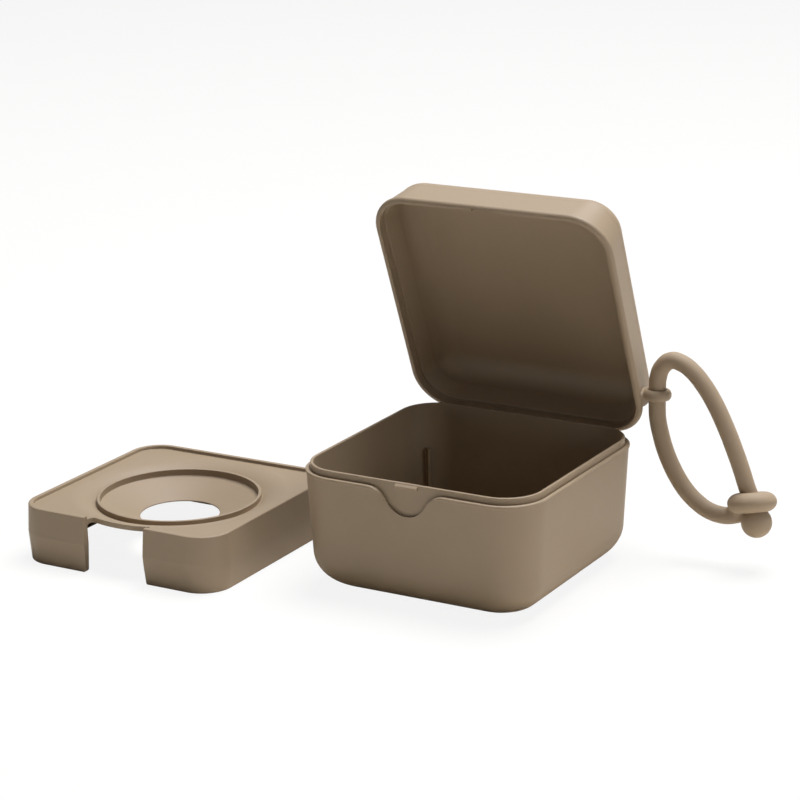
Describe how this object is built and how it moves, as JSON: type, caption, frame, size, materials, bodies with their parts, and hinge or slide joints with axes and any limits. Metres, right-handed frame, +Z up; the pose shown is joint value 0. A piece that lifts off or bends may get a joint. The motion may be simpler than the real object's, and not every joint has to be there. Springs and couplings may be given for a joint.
{
  "type": "pacifier sterilizer case",
  "caption": "Square plastic sterilizing case for pacifiers: hinged lid with a carrying strap, thumb recess, and a loose steam tray with a funnel and a ring rib.",
  "frame": {"origin": "centre of the base shell's flat foot, on the table", "axes": "+X right, -Y front where the thumb recess is, +Z up; the lid stands open, the tray lies at -X, the strap hangs at +X"},
  "size_m": [0.2415, 0.1255, 0.1283],
  "materials": {
    "case_plastic": "matte moulded polypropylene",
    "strap_silicone": "matte silicone"
  },
  "bodies": {
    "base": {"base_shell": "case_plastic"},
    "lid": {"lid_shell": "case_plastic"},
    "strap": {"strap_run_long": "strap_silicone", "strap_run_short": "strap_silicone", "strap_ring": "strap_silicone", "strap_ball": "strap_silicone"},
    "tray": {"steam_tray": "case_plastic"}
  },
  "joints": [
    {"name": "lid_hinge", "type": "hinge", "parent": "base", "child": "lid", "pos_m": [0, 0.045, 0.0414], "axis": [1, 0, 0], "range_deg": [-30, 68]},
    {"name": "strap_swivel", "type": "hinge", "parent": "lid", "child": "strap", "pos_m": [0.0494, 0.0455, 0.0571], "axis": [0, 0.0698, 0.9976], "range_deg": [-50, 60]},
    {"name": "tray_lift", "type": "slide", "parent": "base", "child": "tray", "axis": [0, 0, 1], "range_m": [0, 0.08]}
  ]
}
